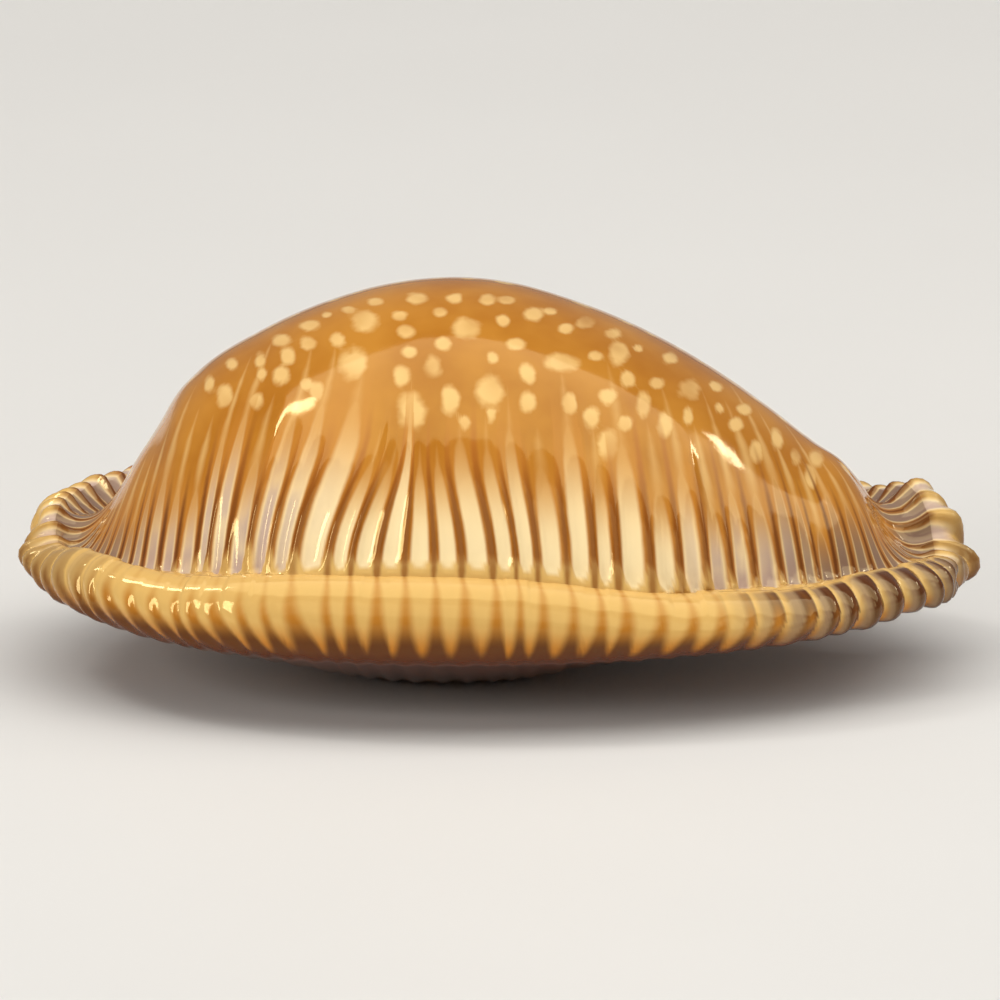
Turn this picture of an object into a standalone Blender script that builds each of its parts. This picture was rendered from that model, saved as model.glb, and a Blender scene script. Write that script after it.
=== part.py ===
"""Great spotted cowrie shell, one hollow ribbed solid at its real size.

+Z is up and the shell rests on the flat of its base at z = 0. +X points to the anterior end, -Y to
the outer lip. Lengths are written in millimetres and scaled to metres once, by MM.

The surface is one net of rings and columns. A column starts on the midline of the back, runs down
the flank, round the thick rim, under the base to the lip of the slit, and up inside to the roof of
the hollow. Ribs follow the columns, so their spacing is the spacing of the columns.
"""
import math

import bmesh
import bpy
import numpy as np

MM = 0.001

# Plan of the rim's crest, a blunt oval that is fuller behind
HALF_LENGTH = 29.2
HALF_WIDTH = 18.6
OUTLINE_POWER = 2.15
POSTERIOR_FULLNESS = 0.06

# Ribs all the way round: (x, spacing against the middle)
RIBS = 88
RIB_SPACING = [
    (-30, 0.80), (-27, 1.08), (-20, 1.05), (-14, 1.0), (-8, 0.96), (0, 0.95), (6, 0.98), (12, 1.1),
    (22, 1.14), (27, 1.05), (30, 0.95),
]
COLUMNS_PER_RIB = 3

# Heights round the rim: (degrees from the anterior tip over the inner side, height)
CREASE_HEIGHTS = [
    (0, 6.9), (5, 7.2), (10, 8.7), (15, 9.6), (21, 9.9), (27, 9.3), (35, 8.9), (42, 8.9),
    (55, 9.2), (70, 9.6), (90, 9.9), (120, 9.7), (138, 9.6), (155, 9.5), (168, 9.5), (177, 9.4),
    (183, 8.3), (190, 8.2), (204, 8.9), (226, 8.7), (250, 9.7), (270, 9.7), (290, 8.3),
    (308, 7.6), (328, 7.8), (350, 7.2),
]
UNDERSIDE_HEIGHTS = [
    (0, 5.0), (12, 5.3), (25, 6.0), (50, 5.6), (90, 4.7), (130, 5.8), (155, 6.5), (180, 6.3),
    (204, 5.5), (226, 4.8), (245, 4.5), (270, 4.4), (295, 4.6), (315, 4.9), (335, 5.4),
]
RIM_THICKNESSES = [
    (0, 1.5), (35, 1.9), (90, 2.3), (145, 1.9), (180, 1.5), (215, 1.9), (270, 2.4), (325, 2.0),
]

# The back: a half ellipse at each x, standing on a level inside the rim
DOME_LEVEL = 5.1
DOME_RISES = [
    (-30, -3.0), (-27, 0.4), (-25.5, 2.6), (-24, 5.0), (-22.6, 7.6), (-21.3, 9.7), (-20, 12.0),
    (-18.5, 13.6), (-15, 15.9), (-10, 18.1), (-5, 19.3), (-2.5, 19.45), (0, 19.25), (5, 17.9),
    (10, 15.75), (15, 12.7), (20, 8.8), (22, 7.3), (23.2, 5.6), (24.2, 3.6), (25.5, 1.8),
    (30, -1.0),
]
DOME_HALF_WIDTHS = [
    (-30, 1.0), (-26.5, 2.0), (-25, 3.8), (-23, 6.6), (-20, 10.2), (-15, 14.4), (-8, 16.6),
    (-2, 17.0), (4, 16.6), (10, 15.2), (15, 12.4), (20, 8.5), (24, 5.0), (26.5, 2.8), (30, 1.0),
]
MIDLINE_CENTRE = -0.4
MIDLINE_HALF = 22.3
FLANGE_DIP = 1.3
FLANGE_DIP_RUN = 1.7
FILLET = 2.2

# The slit between the lips, and the base that falls to it
SLIT_HALF_LENGTH = 26.3
SLIT_HALF_WIDTHS = [(-27, 0.7), (-18, 0.8), (0, 1.0), (14, 1.4), (22, 1.7), (27, 1.1)]
SLIT_MIDDLES = [(-27, 1.6), (-18, 0.6), (-4, 0.2), (12, 0.4), (27, 0.2)]
LIP_HEIGHTS = [
    (-27, 5.3), (-20, 3.5), (-14, 2.0), (-9, 0.2), (-3, -0.45), (2.5, 0.05), (6, 1.3), (10, 2.3),
    (15, 3.1), (21, 3.8), (27, 4.7),
]
LIP_SLOPE = 0.12
LIP_ROUNDING = 0.7
LIP_WALLS = [(-27, 1.0), (-20, 1.8), (-8, 2.4), (8, 2.4), (20, 1.8), (27, 1.2)]

# The hollow inside the last whorl
HOLLOW_HALF_LENGTH = 21.2
HOLLOW_HALF_WIDTH = 13.6
HOLLOW_WIDEST_HEIGHT = 7.0
HOLLOW_MIDLINE_HALF = 16.0
WALL = 2.3

# Rib heights: (degrees round the rim, height) on the flank and on the rim, one height on the base
FLANK_RIB_HEIGHTS = [
    (0, 0.45), (35, 0.38), (60, 0.36), (90, 0.30), (120, 0.42), (150, 0.50), (180, 0.45),
    (215, 0.50), (240, 0.42), (260, 0.26), (280, 0.30), (300, 0.48), (325, 0.50),
]
RIM_RIB_HEIGHTS = [
    (0, 0.58), (22, 0.50), (36, 0.26), (60, 0.16), (90, 0.08), (120, 0.14), (150, 0.34), (180, 0.42),
    (205, 0.32), (230, 0.16), (255, 0.07), (280, 0.07), (305, 0.20), (325, 0.40), (345, 0.56),
]
BASE_RIB_HEIGHT = 0.10
TOOTH_HEIGHT = 0.30
RIB_ROUNDING = 0.07
RIB_UNEVENNESS = 0.18
GROOVE_PLACE = 0.32
BULGE_LEAN = 1.25

# How far the ribs slide along the shell from the crest of the rim to its underside, in ribs
RIB_SLANTS = [
    (0, 0.0), (35, 0.1), (48, 0.5), (65, 0.6), (80, 0.3), (92, 0.0), (102, -0.1), (115, -0.7),
    (135, -1.1), (160, -0.8), (180, 0.0), (200, 0.9), (225, 1.3), (245, 0.9), (258, 0.1),
    (268, 0.0), (280, -0.3), (295, -0.6), (312, -0.5), (325, -0.1), (340, 0.2),
]

# Knobs where ribs run out past the rim at the tips, and the two notches beside them:
# (rib counted from the anterior tip, degrees above the crest, reach, spread in ribs)
KNOBS = [
    (1, -8, 0.9, 0.7), (2.3, 45, 0.5, 0.5), (-1.2, 0, -0.8, 1.3), (2, -84, 1.9, 0.9),
    (3.7, 60, 0.4, 0.6), (-42.6, 12, 0.5, 1.2), (43, 30, -0.6, 0.8),
]
KNOB_SPREAD_DEGREES = 30
BASE_DEGREES = 80

# The ribs lean together where they run up the outer flank: their meeting place along the shell,
# its reach, the pull behind and ahead of it, and the rise over which the pull sets in
FAN_CENTRE = -5.0
FAN_REACH = 6.0
FAN_PULLS = (0.72, 0.45)
FAN_START = 1.0
FAN_RUN = 8.0

# Rings of the net, from the midline of the back to the roof of the hollow
DOME_STEPS = (1.0, 0.82, 0.66, 0.52)
FLANK_STEPS = (0.36, 0.2, 0.08, 0.0)
FURROW_END_STEP = 0.1
RIM_DEGREES = (58, 26, 0, -34, -70)
BASE_STEPS = (0.68, 0.4, 0.17, 0.0)
LIP_DEGREES = (45, 90)
FLOOR_STEPS = (0.0, 0.35, 0.7, 1.0)
ROOF_STEPS = (0.3, 0.62, 1.0)

SHELL_COLOUR = (0.60, 0.29, 0.07, 1.0)


def through(stations, where):
    """Smooth curve through (place, value) stations, read at the places in where."""
    place, value = np.array(stations, dtype=float).T
    slope = np.gradient(value, place)
    left = np.clip(np.searchsorted(place, where) - 1, 0, len(place) - 2)
    step = place[left + 1] - place[left]
    part = (where - place[left]) / step
    from_left = (1 + 2 * part) * value[left] + part * step * slope[left]
    from_right = (3 - 2 * part) * value[left + 1] + (part - 1) * step * slope[left + 1]
    return (1 - part) ** 2 * from_left + part ** 2 * from_right


def around(stations, degrees):
    """Smooth closed curve through stations given in degrees round the rim."""
    before = [(place - 360, value) for place, value in stations[-3:]]
    after = [(place + 360, value) for place, value in stations[:3]]
    return through(before + stations + after, degrees)


def smoothstep(low, high, value):
    """0 below low, 1 above high and an easy curve between."""
    part = np.clip((value - low) / (high - low), 0, 1)
    return part * part * (3 - 2 * part)


def wrapped(offset):
    """Offset in rib spacings brought back to between -0.5 and 0.5."""
    return offset - np.round(offset)


def rim_outline(angle):
    """Plan of the rim's crest."""
    cosine = np.cos(angle)
    sine = np.sin(angle)
    x = HALF_LENGTH * np.sign(cosine) * np.abs(cosine) ** (2 / OUTLINE_POWER)
    y = HALF_WIDTH * np.sign(sine) * np.abs(sine) ** (2 / OUTLINE_POWER)
    return x, y * (1 - POSTERIOR_FULLNESS * cosine)


def column_angles():
    """Angle of every column, stepped so that the ribs keep RIB_SPACING along the rim."""
    half_turn = np.linspace(0, math.pi, 4001)
    x, y = rim_outline(half_turn)
    lengths = np.hypot(np.diff(x), np.diff(y))
    spacing = through(RIB_SPACING, (x[1:] + x[:-1]) / 2)
    ribs_passed = np.concatenate([[0], np.cumsum(lengths / spacing)])
    ribs_passed *= RIBS / 2 / ribs_passed[-1]
    per_side = RIBS * COLUMNS_PER_RIB // 2
    one_side = np.interp(np.arange(per_side + 1) / COLUMNS_PER_RIB, ribs_passed, half_turn)
    return np.concatenate([one_side, 2 * math.pi - one_side[-2:0:-1]])


def dome_height(x, y):
    """Height of the back where it stands clear of the rim."""
    across = np.clip(1 - (y / through(DOME_HALF_WIDTHS, x)) ** 2, 0, 1)
    return DOME_LEVEL + through(DOME_RISES, x) * np.sqrt(across)


def filleted(height, other, size):
    """Higher of two surfaces, with the corner between them filled."""
    return (height + other + np.sqrt((height - other) ** 2 + size ** 2)) / 2


class Columns:
    """Plan points and heights that every column of the net shares."""

    def __init__(self):
        angle = column_angles()
        self.degrees = np.degrees(angle)
        self.rib = np.arange(len(angle)) / COLUMNS_PER_RIB
        self.side = -np.sin(angle)
        self.forward = np.where(self.degrees > 180, 1.0, -1.0)
        self.crest = np.stack(rim_outline(angle), axis=1)
        ahead = np.roll(self.crest, -1, axis=0) - np.roll(self.crest, 1, axis=0)
        outward = np.stack([ahead[:, 1], -ahead[:, 0]], axis=1)
        self.outward = outward / np.linalg.norm(outward, axis=1)[:, None]
        self.thickness = around(RIM_THICKNESSES, self.degrees)
        self.crease = self.crest - self.thickness[:, None] * self.outward
        self.crease_height = around(CREASE_HEIGHTS, self.degrees)
        self.underside_height = around(UNDERSIDE_HEIGHTS, self.degrees)
        along = self.crest[:, 0]
        span = np.abs(along)
        self.endness = np.clip((span - 9) / 14, 0, 1) ** 1.5
        nearer = smoothstep(-0.1, 0.5, self.side) * smoothstep(25, 19, span)
        self.dished = self.endness * (1 - nearer)
        self.tip = smoothstep(17, 24, along) + smoothstep(23, 28, -along)
        self.open_rim = smoothstep(14, 21, span) * smoothstep(0.25, -0.05, self.side)
        flat = np.zeros(len(angle))
        lengthwise = (np.cos(angle) + np.roll(np.cos(angle)[::-1], 1)) / 2
        self.midline = np.stack([MIDLINE_CENTRE + MIDLINE_HALF * lengthwise, flat], axis=1)
        slit_x = SLIT_HALF_LENGTH * np.cos(angle)
        slit_side = np.sign(np.sin(angle)) * np.abs(np.sin(angle)) ** 0.6
        slit_y = through(SLIT_MIDDLES, slit_x) + slit_side * through(SLIT_HALF_WIDTHS, slit_x)
        self.slit = np.stack([slit_x, slit_y], axis=1)
        away = self.crest - self.slit
        self.from_slit = away / np.linalg.norm(away, axis=1)[:, None]
        self.lip_height = through(LIP_HEIGHTS, slit_x)
        self.lip_wall = through(LIP_WALLS, slit_x)
        hollow = (HOLLOW_HALF_LENGTH * np.cos(angle), HOLLOW_HALF_WIDTH * np.sin(angle))
        self.hollow = np.stack(hollow, axis=1)
        hollow_x = MIDLINE_CENTRE + HOLLOW_MIDLINE_HALF * lengthwise
        self.hollow_midline = np.stack([hollow_x, flat], axis=1)

        number = np.round(self.rib) % RIBS
        uneven = 1 + RIB_UNEVENNESS * np.sin(2.4 * number) * np.cos(1.1 * number + 0.7)
        self.from_rib = wrapped(self.rib)
        self.flank_ribs = uneven * around(FLANK_RIB_HEIGHTS, self.degrees)
        self.rim_ribs = uneven * around(RIM_RIB_HEIGHTS, self.degrees)
        self.slant = around(RIB_SLANTS, self.degrees)

    def slid(self, degrees):
        """Rib count at each column once the ribs have slid along, this far down the rim."""
        return self.rib - self.slant * smoothstep(40, RIM_DEGREES[-1], degrees)


def ring(plan, height):
    """One ring of the net from its plan points and heights."""
    return np.column_stack([plan, np.broadcast_to(height, len(plan))])


def upper_height(columns, plan):
    """Height of the back and of the dished flange between it and the rim."""
    inward = np.linalg.norm(plan - columns.crease, axis=1)
    settled = 1 - np.exp(-inward / FLANGE_DIP_RUN)
    flange = columns.crease_height - FLANGE_DIP * columns.dished * settled
    fillet = 0.1 + FILLET * columns.endness
    dome = dome_height(plan[:, 0], plan[:, 1])
    at_crease = dome_height(columns.crease[:, 0], columns.crease[:, 1])
    excess = filleted(at_crease, columns.crease_height, fillet) - columns.crease_height
    return filleted(dome, flange, fillet) - excess * np.exp(-inward / FLANGE_DIP_RUN)


def met_at_midline(height, step):
    """Heights of a ring, eased so that the two sides agree where they meet at step 1."""
    other_side = np.roll(height[::-1], 1)
    return height + step ** 4 * (other_side - height) / 2


def fanned(columns, plan, height):
    """Plan of a flank ring whose columns lean together above the outer side's middle."""
    away = plan[:, 0] - FAN_CENTRE
    strength = np.where(away < 0, *FAN_PULLS)
    pull = -strength * away * np.exp(-(away / FAN_REACH) ** 2)
    risen = smoothstep(FAN_START, FAN_RUN, height - columns.crease_height)
    moved = plan.copy()
    moved[:, 0] += pull * risen * smoothstep(0.3, 0.8, columns.side)
    return moved


def back_ring(columns, step):
    """Ring on the back or flank; step is 1 on the midline and 0 in the crease above the rim."""
    run = 1 - math.cos(step * math.pi / 2)
    plan = columns.crease + run * (columns.midline - columns.crease)
    height = met_at_midline(upper_height(columns, plan), step)
    leaning = 1 - smoothstep(0.6, 1.0, step)
    plan += leaning * (fanned(columns, plan, height) - plan)
    return ring(plan, met_at_midline(upper_height(columns, plan), step))


def rim_ring(columns, degrees):
    """Ring on the rim, which is half an ellipse from the crease down to the underside."""
    turn = math.radians(degrees)
    out = columns.thickness * (math.cos(turn) - 1)
    middle = (columns.crease_height + columns.underside_height) / 2
    half = (columns.crease_height - columns.underside_height) / 2
    plan = columns.crest + out[:, None] * columns.outward
    return ring(plan, middle + half * math.sin(turn))


def base_ring(columns, step):
    """Ring on the base; step is 1 where the rim ends and 0 where the lip starts to turn in."""
    edge = rim_ring(columns, RIM_DEGREES[-1])
    start = columns.slit + LIP_ROUNDING * columns.from_slit
    turn = math.radians(-RIM_DEGREES[-1])
    half = (columns.crease_height - columns.underside_height) / 2
    edge_slope = half / columns.thickness * math.cos(turn) / math.sin(turn)
    length = np.linalg.norm(edge[:, :2] - start, axis=1)
    rise = edge[:, 2] - columns.lip_height
    eased = step * step * (3 - 2 * step)
    bends = LIP_SLOPE * step * (1 - step) ** 2 + edge_slope * step * step * (step - 1)
    height = columns.lip_height + rise * eased + length * bends
    return ring(start + step * (edge[:, :2] - start), height)


def lip_ring(columns, degrees):
    """Ring on the rounded edge of the slit."""
    turn = math.radians(degrees)
    plan = columns.slit + LIP_ROUNDING * (1 - math.sin(turn)) * columns.from_slit
    return ring(plan, columns.lip_height + LIP_ROUNDING * (1 - math.cos(turn)))


def floor_ring(columns, step):
    """Ring on the floor of the hollow, from the top of the slit's wall to the widest line."""
    plan = columns.slit + step * (columns.hollow - columns.slit)
    start = columns.lip_height + columns.lip_wall
    return ring(plan, start + (HOLLOW_WIDEST_HEIGHT - start) * step ** 3)


def roof_ring(columns, step):
    """Ring on the roof of the hollow; step is 1 on its midline."""
    run = 1 - math.cos(step * math.pi / 2)
    plan = columns.hollow + run * (columns.hollow_midline - columns.hollow)
    top = dome_height(columns.hollow_midline[:, 0], columns.hollow_midline[:, 1]) - WALL
    arch = HOLLOW_WIDEST_HEIGHT + (top - HOLLOW_WIDEST_HEIGHT) * math.sin(step * math.pi / 2)
    height = np.minimum(arch, upper_height(columns, plan) - WALL)
    return ring(plan, met_at_midline(height, step))


def ridges(from_rib):
    """1 on the narrow back of a rib, falling in a hollow curve to 0 between two ribs."""
    offset = np.sqrt(from_rib ** 2 + RIB_ROUNDING ** 2) - RIB_ROUNDING
    return np.clip(1 - 2 * offset / (1 - RIB_ROUNDING), 0, 1) ** 2


def bulges(columns, count):
    """Bulges on the rim, each highest towards its anterior side."""
    place = (columns.forward * wrapped(count) - GROOVE_PLACE) % 1
    return np.abs(np.sin(math.pi * place ** BULGE_LEAN)) ** 0.9


def flank_relief(columns, step):
    """Height of the ribs on the flank; the furrows between them end above the crease."""
    closed = (1 - columns.open_rim) * (step < FURROW_END_STEP)
    furrow = (1 - ridges(columns.from_rib)) * (1 - closed)
    return smoothstep(0.52, 0.15, step) * columns.flank_ribs * (1 - furrow)


def rim_relief(columns, degrees):
    """Height of the ribs on the rim: smooth over its crown, with grooves between them below."""
    count = columns.slid(degrees)
    crown = smoothstep(20, 88, degrees)
    low = smoothstep(-30, RIM_DEGREES[-1] - 10, degrees)
    grooved = columns.tip + (1 - columns.tip) * smoothstep(48, 5, degrees)
    relief = columns.rim_ribs * (1 - grooved * (1 - bulges(columns, count)))
    over_crown = 1 - columns.open_rim * (1 - ridges(columns.from_rib))
    relief += crown * (columns.flank_ribs * over_crown - relief)
    return relief + low * (BASE_RIB_HEIGHT * ridges(wrapped(count)) - relief)


def knob_reach(columns, degrees):
    """How far the knobs at the tips stand out from the rim, at this height on it."""
    reach = np.zeros(len(columns.rib))
    for rib, place, size, spread in KNOBS:
        away = (columns.rib - rib + RIBS / 2) % RIBS - RIBS / 2
        above = (degrees - place) / KNOB_SPREAD_DEGREES
        reach += size * np.exp(-(away / spread) ** 2 - above ** 2)
    return reach


def surface_normals(rings):
    """Outward unit normals of the net, from the differences between its rings and columns."""
    along = np.roll(rings, -1, axis=1) - np.roll(rings, 1, axis=1)
    down = np.gradient(rings, axis=0)
    normals = np.cross(down, along)
    return normals / np.maximum(np.linalg.norm(normals, axis=2), 1e-9)[:, :, None]


def ribbed_rings(columns):
    """The fine rings, from the flank to the lip, with ribs and knobs raised on them."""
    rings = []
    reliefs = []
    for step in FLANK_STEPS:
        rings.append(back_ring(columns, step))
        reliefs.append(flank_relief(columns, step))
    for degrees in RIM_DEGREES:
        rings.append(rim_ring(columns, degrees))
        reliefs.append(rim_relief(columns, degrees) + knob_reach(columns, degrees))
    teeth = ridges(wrapped(columns.slid(RIM_DEGREES[-1])))
    for step in BASE_STEPS:
        rings.append(base_ring(columns, step))
        under = RIM_DEGREES[-1] - BASE_DEGREES * (1 - step)
        height = BASE_RIB_HEIGHT + (TOOTH_HEIGHT - BASE_RIB_HEIGHT) * (1 - step) ** 2
        reliefs.append(height * teeth + knob_reach(columns, under))
    for degrees in LIP_DEGREES:
        rings.append(lip_ring(columns, degrees))
        reliefs.append(TOOTH_HEIGHT * teeth)
    rings = np.array(rings)
    rings += np.array(reliefs)[:, :, None] * surface_normals(rings)
    return list(rings)


def shell_rings():
    """All rings of the net. The plain ones, outside and in, keep one column for each rib."""
    columns = Columns()
    plain = slice(None, None, COLUMNS_PER_RIB)
    back = [back_ring(columns, step)[plain] for step in DOME_STEPS]
    hollow = [floor_ring(columns, step)[plain] for step in FLOOR_STEPS]
    hollow += [roof_ring(columns, step)[plain] for step in ROOF_STEPS]
    return back + ribbed_rings(columns) + hollow


def add_ring(mesh, points):
    """One closed loop of vertices; the base is worn flat where it would pass below the rest."""
    return [mesh.verts.new((x * MM, y * MM, max(z, 0) * MM)) for x, y, z in points]


def bridge(mesh, upper, lower):
    """Faces between two loops, where one may have several columns to the other's one."""
    wide, narrow = (upper, lower) if len(upper) >= len(lower) else (lower, upper)
    columns = len(wide) // len(narrow)
    turn_at = columns // 2
    for place in range(len(narrow)):
        here = narrow[place]
        after = narrow[(place + 1) % len(narrow)]
        fan = [wide[(place * columns + step) % len(wide)] for step in range(columns + 1)]
        if columns == 1:
            mesh.faces.new((fan[0], fan[1], after, here))
            continue
        for step in range(columns):
            nearest = here if step < turn_at else after
            if step == turn_at:
                mesh.faces.new((fan[step], after, here))
            mesh.faces.new((fan[step], fan[step + 1], nearest))


def shell_mesh():
    """The closed net, zipped up along the midline of the back and of the hollow's roof."""
    mesh = bmesh.new()
    loops = [add_ring(mesh, points) for points in shell_rings()]
    for upper, lower in zip(loops, loops[1:]):
        bridge(mesh, upper, lower)
    bmesh.ops.remove_doubles(mesh, verts=mesh.verts, dist=1e-6)
    bmesh.ops.recalc_face_normals(mesh, faces=mesh.faces)
    corners = np.array([vertex.co for vertex in mesh.verts])
    middle = (corners.min(axis=0) + corners.max(axis=0)) / 2
    bmesh.ops.translate(mesh, verts=mesh.verts, vec=(-middle[0], -middle[1], -corners[:, 2].min()))
    data = bpy.data.meshes.new("shell")
    mesh.to_mesh(data)
    mesh.free()
    data.shade_smooth()
    data.set_sharp_from_angle(angle=math.radians(50))
    return data


def porcelain_material():
    """Glossy amber shell."""
    material = bpy.data.materials.new("shell_glaze")
    material.use_nodes = True
    shader = material.node_tree.nodes["Principled BSDF"]
    shader.inputs["Base Color"].default_value = SHELL_COLOUR
    shader.inputs["Roughness"].default_value = 0.15
    shader.inputs["Metallic"].default_value = 0.0
    return material


def main():
    for thing in list(bpy.data.objects):
        bpy.data.objects.remove(thing, do_unlink=True)
    data = shell_mesh()
    data.materials.append(porcelain_material())
    shell = bpy.data.objects.new("shell", data)
    bpy.context.collection.objects.link(shell)


main()
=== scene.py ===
"""Great spotted cowrie shell on a pale table, laid out as a Blender add-on.

+X points to the shell's anterior end, -Y to its outer lip, which faces the camera, and +Z up through
its back. Sizes are in millimetres and become metres once, by MM.

The shell is one net of rings and columns. A column starts on the midline of the back, runs down the
flank and round the rim, under the base to the slit, and up inside to the roof of the hollow. Ribs
follow the columns. Each vertex keeps a few plain facts, such as how far it is from the middle of a
brown line, and the glaze turns these into colours.
"""
import math

import bpy
import numpy as np
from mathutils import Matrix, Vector


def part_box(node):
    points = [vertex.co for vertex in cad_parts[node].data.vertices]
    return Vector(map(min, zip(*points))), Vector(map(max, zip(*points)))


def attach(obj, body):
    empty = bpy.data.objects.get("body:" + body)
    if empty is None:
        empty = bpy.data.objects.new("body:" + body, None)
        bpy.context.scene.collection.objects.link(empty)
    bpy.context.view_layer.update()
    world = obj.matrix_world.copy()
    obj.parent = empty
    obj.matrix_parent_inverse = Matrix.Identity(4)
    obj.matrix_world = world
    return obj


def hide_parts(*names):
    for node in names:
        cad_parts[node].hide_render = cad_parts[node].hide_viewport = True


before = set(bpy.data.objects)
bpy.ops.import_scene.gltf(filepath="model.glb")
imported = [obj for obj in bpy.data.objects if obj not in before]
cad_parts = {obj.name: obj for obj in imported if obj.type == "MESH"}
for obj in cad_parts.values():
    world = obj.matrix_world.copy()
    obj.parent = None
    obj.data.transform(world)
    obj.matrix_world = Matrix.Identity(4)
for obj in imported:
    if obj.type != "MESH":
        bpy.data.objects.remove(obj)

bl_info = {
    "name": "Great spotted cowrie shell",
    "version": (1, 0, 0),
    "blender": (4, 5, 0),
    "location": "3D View > Sidebar > Shell",
    "description": "Builds a glossy spotted cowrie shell and the studio it lies in",
    "category": "Object",
}

MM = 0.001
SEED = 7

# Plan of the rim's crest, a blunt oval that is fuller behind
HALF_LENGTH = 29.2
HALF_WIDTH = 18.6
OUTLINE_POWER = 2.15
POSTERIOR_FULLNESS = 0.06

# Ribs all the way round. On the outer side, where the photograph shows them, each has its own place
# along the shell; on the inner side they are spaced by (x, spacing against the middle).
RIBS = 88
OUTER_RIBS_START = 5
OUTER_RIBS = [
    26.5, 25.1, 23.8, 22.3, 21.2, 19.6, 17.5, 15.8, 14.0, 12.2, 10.2, 8.0, 6.5, 4.7, 2.8, 1.4, -0.1,
    -2.1, -3.9, -5.8, -7.6, -9.3, -10.8, -13.1, -14.7, -16.2, -17.9, -19.2, -20.2, -21.7, -23.1,
    -24.5, -25.4, -26.3, -27.4,
]
RIB_SPACING = [
    (-30, 0.80), (-27, 1.08), (-20, 1.05), (-14, 1.0), (-8, 0.96), (0, 0.95), (6, 0.98), (12, 1.1),
    (22, 1.14), (27, 1.05), (30, 0.95),
]
COLUMNS_PER_RIB = 12

# Heights round the rim: (degrees from the anterior tip over the inner side, height)
CREASE_HEIGHTS = [
    (0, 6.9), (5, 7.2), (10, 8.7), (15, 9.6), (21, 9.9), (27, 9.3), (35, 8.9), (42, 8.9),
    (55, 9.2), (70, 9.6), (90, 9.9), (120, 9.7), (138, 9.6), (155, 9.5), (168, 9.5), (177, 9.4),
    (183, 8.3), (190, 8.2), (204, 8.9), (226, 8.7), (250, 9.7), (270, 9.7), (290, 8.3),
    (308, 7.6), (328, 7.8), (350, 7.2),
]
UNDERSIDE_HEIGHTS = [
    (0, 5.0), (12, 5.3), (25, 6.0), (50, 5.6), (90, 4.7), (130, 5.8), (155, 6.5), (180, 6.3),
    (204, 5.5), (226, 4.8), (245, 4.5), (270, 4.4), (295, 4.6), (315, 4.9), (335, 5.4),
]
RIM_THICKNESSES = [
    (0, 1.5), (35, 1.9), (90, 2.3), (145, 1.9), (180, 1.5), (215, 1.9), (270, 2.4), (325, 2.0),
]

# The back: a half ellipse at each x, standing on a level inside the rim
DOME_LEVEL = 5.1
DOME_RISES = [
    (-30, -3.0), (-27, 0.4), (-25.5, 2.6), (-24, 5.0), (-22.6, 7.6), (-21.3, 9.7), (-20, 12.0),
    (-18.5, 13.6), (-15, 15.9), (-10, 18.1), (-5, 19.3), (-2.5, 19.45), (0, 19.25), (5, 17.9),
    (10, 15.75), (15, 12.7), (20, 8.8), (22, 7.3), (23.2, 5.6), (24.2, 3.6), (25.5, 1.8), (30, -1.0),
]
DOME_HALF_WIDTHS = [
    (-30, 1.0), (-26.5, 2.0), (-25, 3.8), (-23, 6.6), (-20, 10.2), (-15, 14.4), (-8, 16.6),
    (-2, 17.0), (4, 16.6), (10, 15.2), (15, 12.4), (20, 8.5), (24, 5.0), (26.5, 2.8), (30, 1.0),
]
MIDLINE_CENTRE = -0.4
MIDLINE_HALF = 22.3
FLANGE_DIP = 1.3
FLANGE_DIP_RUN = 1.7
FILLET = 2.2

# Where the two ends take on their own shape and painted shade, in millimetres from the middle: the
# flange, the tips, the anterior end's painted shade, partly its own darker tint, the open rim of the
# inner side, and the outer side's undished flange
FLANGE_START = 9
FLANGE_RUN = 14
ANTERIOR_TIP = (17, 24)
POSTERIOR_TIP = (23, 28)
ANTERIOR_SHADE = (13, 20)
OPEN_RIM = (14, 21)
OUTER_DISH = (25, 19)
# Painted shade of the posterior tip against the anterior end's
POSTERIOR_SHADE = 0.3

# The slit between the lips, and the base that falls to it
SLIT_HALF_LENGTH = 26.3
SLIT_HALF_WIDTHS = [(-27, 0.7), (-18, 0.8), (0, 1.0), (14, 1.4), (22, 1.7), (27, 1.1)]
SLIT_MIDDLES = [(-27, 1.6), (-18, 0.6), (-4, 0.2), (12, 0.4), (27, 0.2)]
LIP_HEIGHTS = [
    (-27, 5.3), (-20, 3.5), (-14, 2.0), (-9, 0.2), (-3, -0.45), (2.5, 0.05), (6, 1.3), (10, 2.3),
    (15, 3.1), (21, 3.8), (27, 4.7),
]
LIP_SLOPE = 0.12
LIP_ROUNDING = 0.7
LIP_WALLS = [(-27, 1.0), (-20, 1.8), (-8, 2.4), (8, 2.4), (20, 1.8), (27, 1.2)]

# The hollow inside the last whorl
HOLLOW_HALF_LENGTH = 21.2
HOLLOW_HALF_WIDTH = 13.6
HOLLOW_WIDEST_HEIGHT = 7.0
HOLLOW_MIDLINE_HALF = 16.0
WALL = 2.3

# Rib heights: (degrees round the rim, height) on the flank and on the rim, one height on the base
FLANK_RIB_HEIGHTS = [
    (0, 0.45), (35, 0.38), (60, 0.36), (90, 0.30), (120, 0.42), (150, 0.50), (180, 0.45),
    (215, 0.50), (240, 0.42), (260, 0.26), (280, 0.30), (300, 0.48), (325, 0.50),
]
RIM_RIB_HEIGHTS = [
    (0, 0.58), (22, 0.50), (36, 0.26), (60, 0.16), (90, 0.08), (120, 0.14), (150, 0.34), (180, 0.42),
    (205, 0.32), (230, 0.16), (255, 0.07), (280, 0.07), (305, 0.20), (325, 0.40), (345, 0.56),
]
BASE_RIB_HEIGHT = 0.10
TOOTH_HEIGHT = 0.30
RIB_ROUNDING = 0.07

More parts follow.
